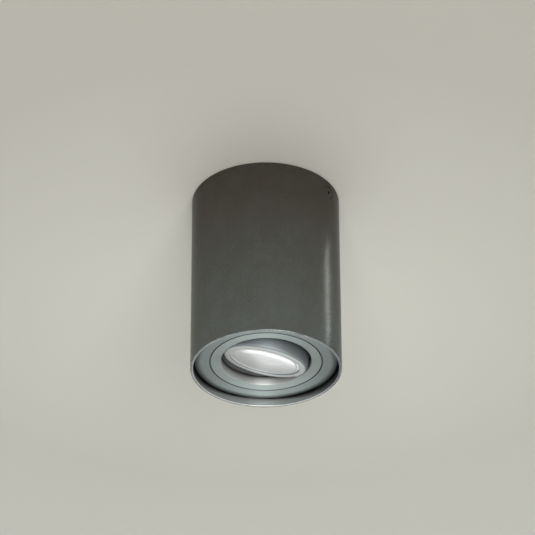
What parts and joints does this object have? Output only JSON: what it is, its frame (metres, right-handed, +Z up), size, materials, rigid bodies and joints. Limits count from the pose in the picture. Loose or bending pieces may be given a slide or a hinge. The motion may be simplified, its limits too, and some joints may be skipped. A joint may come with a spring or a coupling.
{
  "type": "surface mounted ceiling spotlight",
  "caption": "Round surface mounted ceiling spotlight: a plain tube closed by a recessed face plate, with a flush ring that turns in it and a domed lamp head that tilts in the ring.",
  "frame": {"origin": "middle of the face that lies against the ceiling, on the tube's axis", "axes": "+Z up, into the ceiling; +X along the line of the two ceiling screws; -Y towards the camera of the picture"},
  "size_m": [0.096, 0.096, 0.1275],
  "materials": {
    "body_paint": "satin metallic grey lacquer",
    "plate_steel": "zinc plated sheet",
    "black_screw": "black oxide",
    "zinc_steel": "bright zinc plate",
    "spring_steel": "bright spring steel",
    "grommet_rubber": "matt",
    "terminal_plastic": "natural polyamide",
    "terminal_brass": "turned",
    "earth_insulation": "green and yellow",
    "live_insulation": "brown silicone",
    "neutral_insulation": "blue silicone",
    "lamp_shell": "satin",
    "lamp_diffuser": "frosted behind a glossy face",
    "lamp_plastic": "white",
    "board_white": "white solder mask",
    "board_green": "green solder mask",
    "lamp_pin_metal": "nickel plated",
    "holder_ceramic": "unglazed",
    "contact_bronze": "sprung strip"
  },
  "bodies": {
    "housing": {"housing_tube": "body_paint", "face_plate": "body_paint", "ceiling_plate": "plate_steel", "cable_grommet": "grommet_rubber", "side_screws": "black_screw", "clinch_nuts": "zinc_steel", "terminal_block": "terminal_plastic", "terminal_sleeves": "terminal_brass", "terminal_screws": "zinc_steel", "terminal_block_screws": "zinc_steel", "earth_tag": "zinc_steel", "earth_screw": "zinc_steel", "earth_lead": "earth_insulation", "live_lead": "live_insulation", "neutral_lead": "neutral_insulation", "rotation_stop_pin": "zinc_steel"},
    "swivel": {"swivel_ring": "body_paint", "pivot_pins": "zinc_steel", "pivot_washers": "zinc_steel", "retention_springs": "spring_steel", "spring_rivets": "zinc_steel", "rotation_stop_tab": "zinc_steel", "stop_tab_screw": "zinc_steel"},
    "head": {"head_cup": "body_paint", "lamp_retaining_ring": "spring_steel", "lamp_body": "lamp_shell", "lamp_lens": "lamp_diffuser", "lamp_led_board": "board_white", "lamp_driver_board": "board_green", "lamp_base": "lamp_plastic", "lamp_pins": "lamp_pin_metal", "lampholder": "holder_ceramic", "lampholder_contacts": "contact_bronze"}
  },
  "joints": [
    {"name": "ring_swivel", "type": "hinge", "parent": "housing", "child": "swivel", "pos_m": [0, 0, -0.1153], "axis": [0, 0, 1], "range_deg": [-171, 171], "deforming": ["live_lead", "neutral_lead"]},
    {"name": "head_tilt", "type": "hinge", "parent": "swivel", "child": "head", "pos_m": [0, 0, -0.1153], "axis": [0.7071, 0.7071, 0], "range_deg": [-46.9, 13.1], "deforming": ["live_lead", "neutral_lead"]}
  ]
}
